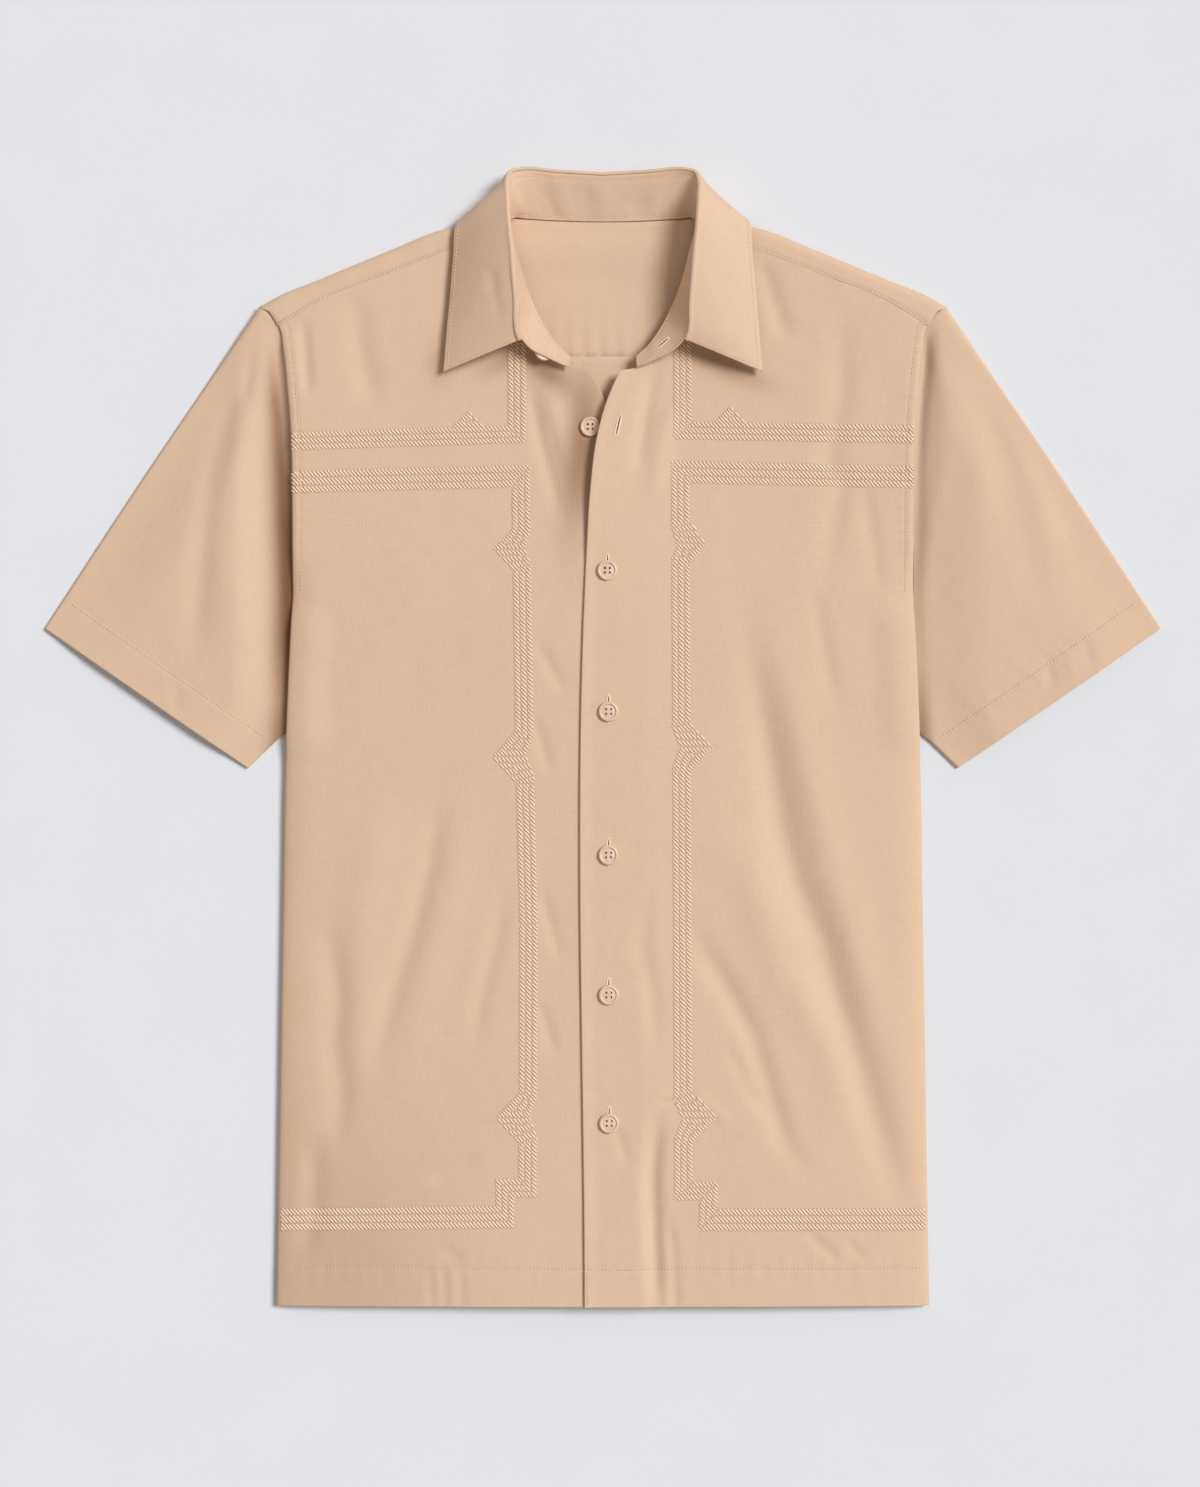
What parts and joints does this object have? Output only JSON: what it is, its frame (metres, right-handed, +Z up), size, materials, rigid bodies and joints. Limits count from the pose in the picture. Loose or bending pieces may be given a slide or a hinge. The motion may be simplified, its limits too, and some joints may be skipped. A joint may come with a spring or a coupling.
{
  "type": "short-sleeved shirt",
  "caption": "Short-sleeved button-front cotton shirt laid flat, front up, with a turned-down collar open at the neck and a tone-on-tone embroidered border on each front.",
  "frame": {"origin": "middle of the laid shirt's outline, on the surface it lies on", "axes": "+Z up, away from the surface and towards the viewer; +Y along the shirt towards the collar; +X towards the wearer's left sleeve"},
  "size_m": [0.783, 0.7959, 0.0386],
  "materials": {
    "shirt_cloth": "matt plain-woven tan cotton",
    "embroidery": "slightly shiny tan embroidery thread",
    "button": "satin tan"
  },
  "bodies": {
    "root": {"back": "shirt_cloth", "yoke": "shirt_cloth", "front_left": "shirt_cloth", "front_right": "shirt_cloth", "sleeve_left": "shirt_cloth", "sleeve_right": "shirt_cloth", "collar_stand": "shirt_cloth", "collar_leaf": "shirt_cloth", "button_1": "button", "button_2": "button", "button_3": "button", "button_4": "button", "button_5": "button", "button_chest": "button", "button_collar": "button"}
  },
  "joints": []
}
